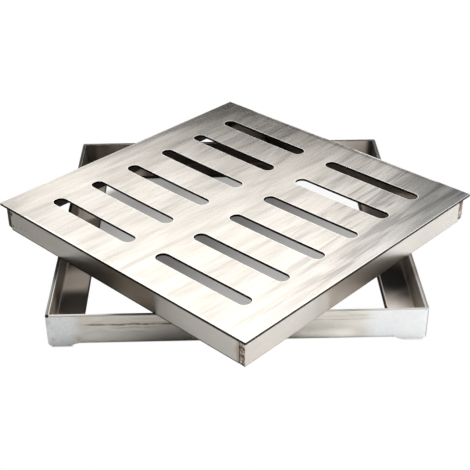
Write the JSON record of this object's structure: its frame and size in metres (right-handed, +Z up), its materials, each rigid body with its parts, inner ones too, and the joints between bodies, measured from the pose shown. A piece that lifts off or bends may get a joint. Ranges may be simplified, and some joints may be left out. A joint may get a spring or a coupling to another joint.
{
  "type": "square floor drain grate with frame",
  "caption": "Square stainless floor drain: a folded sheet frame with an inward ledge, and a slotted lift-off cover with a welded skirt, laid diagonally across the rim.",
  "frame": {"origin": "on the floor, under the middle of the cover, which is the bottom centre of the bounding box", "axes": "+Z up through the cover; the frame's walls run along X and Y, with its front wall facing -Y; the cover lies turned by 45 degrees"},
  "size_m": [0.2122, 0.2122, 0.0277],
  "materials": {
    "brushed_plate": "straight brushed grain across the slots",
    "skirt_steel": "mill finish, satin",
    "weld_metal": "raw weld with brown heat tint",
    "frame_steel": "satin, lightly scuffed",
    "frame_weld": "weld ground flush"
  },
  "bodies": {
    "root": {"cover_plate": "brushed_plate", "skirt_front_left": "skirt_steel", "skirt_front_right": "skirt_steel", "skirt_back_right": "skirt_steel", "skirt_back_left": "skirt_steel", "skirt_corner_welds": "weld_metal", "frame_front_strip": "frame_steel", "frame_back_strip": "frame_steel", "frame_left_strip": "frame_steel", "frame_right_strip": "frame_steel", "frame_corner_welds": "frame_weld"}
  },
  "joints": []
}
